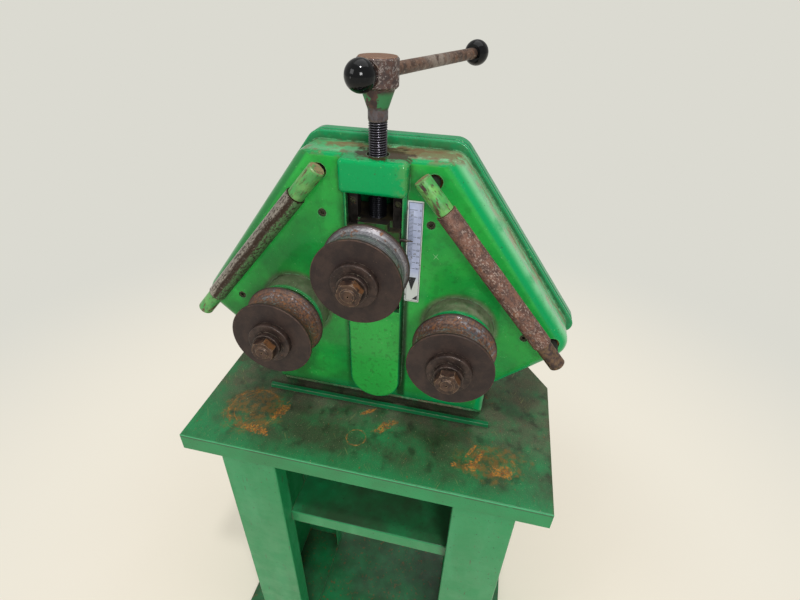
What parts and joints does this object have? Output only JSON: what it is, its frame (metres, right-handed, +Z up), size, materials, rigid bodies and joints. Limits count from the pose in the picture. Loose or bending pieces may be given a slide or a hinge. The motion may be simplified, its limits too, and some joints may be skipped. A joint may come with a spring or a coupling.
{
  "type": "ring roller",
  "caption": "Floor-standing ring roller with grooved rolls, a pressure screw with T-handle, side guide bars and a sheet-metal stand.",
  "frame": {"origin": "middle of the base plate's underside, front to back, under the pressure screw", "axes": "+Z up along the pressure screw, -Y out of the front where the rolls are, +X to the right seen from the front"},
  "size_m": [0.62, 0.4373, 1.256],
  "materials": {
    "casting_green": "worn gloss enamel with grime and chipped edges",
    "stand_green": "brush-painted sheet steel with rust patches",
    "dark_steel": "oil-darkened machined steel",
    "brown_steel": "steel with an even brown rust skin",
    "roll_steel": "worn grey groove with orange rust and dark brown faces",
    "rusty_steel": "mottled pitted rust with pale flecks",
    "screw_steel": "oiled gunmetal thread",
    "bearing_steel": "ground bearing steel",
    "gear_steel": "hobbed gear steel with grease",
    "bronze": "machined bronze",
    "knob_black": "polished phenolic resin",
    "scale_white": "printed aluminium strip",
    "motor_grey": "sprayed grey enamel on cast aluminium",
    "cover_plastic": "moulded black plastic",
    "bolt_steel": "blackened fasteners"
  },
  "bodies": {
    "frame": {"back_bearings": "bearing_steel", "base_plate": "stand_green", "bearing_covers": "casting_green", "cable_gland": "cover_plastic", "face_screws": "bolt_steel", "fan_cover": "cover_plastic", "front_bearings": "bearing_steel", "front_casting": "casting_green", "gearbox_housing": "motor_grey", "guide_bushes": "bronze", "guide_rails": "dark_steel", "housing_screws": "bolt_steel", "left_pedestal": "stand_green", "motor_body": "motor_grey", "plinth": "casting_green", "plinth_screws": "bolt_steel", "rail_screws": "bolt_steel", "rear_casting": "casting_green", "ridge_bar": "stand_green", "right_pedestal": "stand_green", "scale_plate": "scale_white", "screw_nut": "bronze", "shelf": "stand_green", "stand_bolts": "bolt_steel", "table_tray": "stand_green", "terminal_box": "motor_grey"},
    "left_roll": {"left_shaft": "brown_steel", "left_roll": "roll_steel", "left_spacer": "dark_steel", "left_clamp_rings": "brown_steel", "left_nut": "brown_steel", "left_gear": "gear_steel"},
    "right_roll": {"right_shaft": "brown_steel", "right_roll": "roll_steel", "right_spacer": "dark_steel", "right_clamp_rings": "brown_steel", "right_nut": "brown_steel", "right_gear": "gear_steel"},
    "drive_pinion": {"pinion_shaft": "gear_steel", "worm_wheel": "bronze"},
    "motor_rotor": {"worm_shaft": "gear_steel", "motor_fan": "cover_plastic"},
    "top_slide": {"top_slide": "dark_steel", "slide_pointer": "dark_steel", "slide_bearings": "bearing_steel"},
    "pressure_screw": {"pressure_screw": "screw_steel", "screw_keeper": "dark_steel"},
    "tommy_bar": {"tommy_bar": "rusty_steel", "tommy_knobs": "knob_black"},
    "upper_roll": {"upper_shaft": "brown_steel", "upper_roll": "roll_steel", "upper_spacer": "dark_steel", "upper_clamp_rings": "brown_steel", "upper_nut": "brown_steel"},
    "left_guide": {"left_guide_bar": "casting_green", "left_guide_collars": "dark_steel"},
    "left_sleeve": {"left_guide_sleeve": "rusty_steel"},
    "right_guide": {"right_guide_bar": "casting_green", "right_guide_collars": "dark_steel"},
    "right_sleeve": {"right_guide_sleeve": "rusty_steel"}
  },
  "joints": [
    {"name": "left_roll_spin", "type": "hinge", "parent": "frame", "child": "left_roll", "pos_m": [-0.128, 0, 0.8984], "axis": [0, 1, 0], "continuous": true},
    {"name": "right_roll_spin", "type": "hinge", "parent": "frame", "child": "right_roll", "pos_m": [0.128, 0, 0.8984], "axis": [0, 1, 0], "continuous": true},
    {"name": "pinion_spin", "type": "hinge", "parent": "frame", "child": "drive_pinion", "pos_m": [0, 0, 0.8202], "axis": [0, 1, 0], "continuous": true},
    {"name": "motor_spin", "type": "hinge", "parent": "frame", "child": "motor_rotor", "pos_m": [0, 0.134, 0.8832], "axis": [1, 0, 0], "continuous": true},
    {"name": "top_slide_travel", "type": "slide", "parent": "frame", "child": "top_slide", "axis": [0, 0, 1], "range_m": [-0.049, 0.038]},
    {"name": "screw_turn", "type": "hinge", "parent": "top_slide", "child": "pressure_screw", "pos_m": [0, -0.0445, 1.2], "axis": [0, 0, 1], "range_deg": [-5870, 4550]},
    {"name": "tommy_bar_slide", "type": "slide", "parent": "pressure_screw", "child": "tommy_bar", "axis": [-0.3486, -0.9373, 0], "range_m": [0, 0.232]},
    {"name": "upper_roll_spin", "type": "hinge", "parent": "top_slide", "child": "upper_roll", "pos_m": [0, 0, 1.0138], "axis": [0, 1, 0], "continuous": true},
    {"name": "left_guide_slide", "type": "slide", "parent": "frame", "child": "left_guide", "axis": [0, 1, 0], "range_m": [-0.035, 0.01]},
    {"name": "left_sleeve_spin", "type": "hinge", "parent": "left_guide", "child": "left_sleeve", "pos_m": [-0.0655, -0.0894, 1.132], "axis": [-0.6435, 0, -0.7654], "continuous": true},
    {"name": "right_guide_slide", "type": "slide", "parent": "frame", "child": "right_guide", "axis": [0, 1, 0], "range_m": [-0.035, 0.01]},
    {"name": "right_sleeve_spin", "type": "hinge", "parent": "right_guide", "child": "right_sleeve", "pos_m": [0.0655, -0.0894, 1.132], "axis": [0.6435, 0, -0.7654], "continuous": true}
  ],
  "couplings": [
    {"joint": "right_roll_spin", "follows": "left_roll_spin", "ratio": 1},
    {"joint": "pinion_spin", "follows": "left_roll_spin", "ratio": -1.7778},
    {"joint": "motor_spin", "follows": "left_roll_spin", "ratio": -35.556},
    {"joint": "top_slide_travel", "follows": "screw_turn", "m_per_rad": 0.00047746}
  ]
}
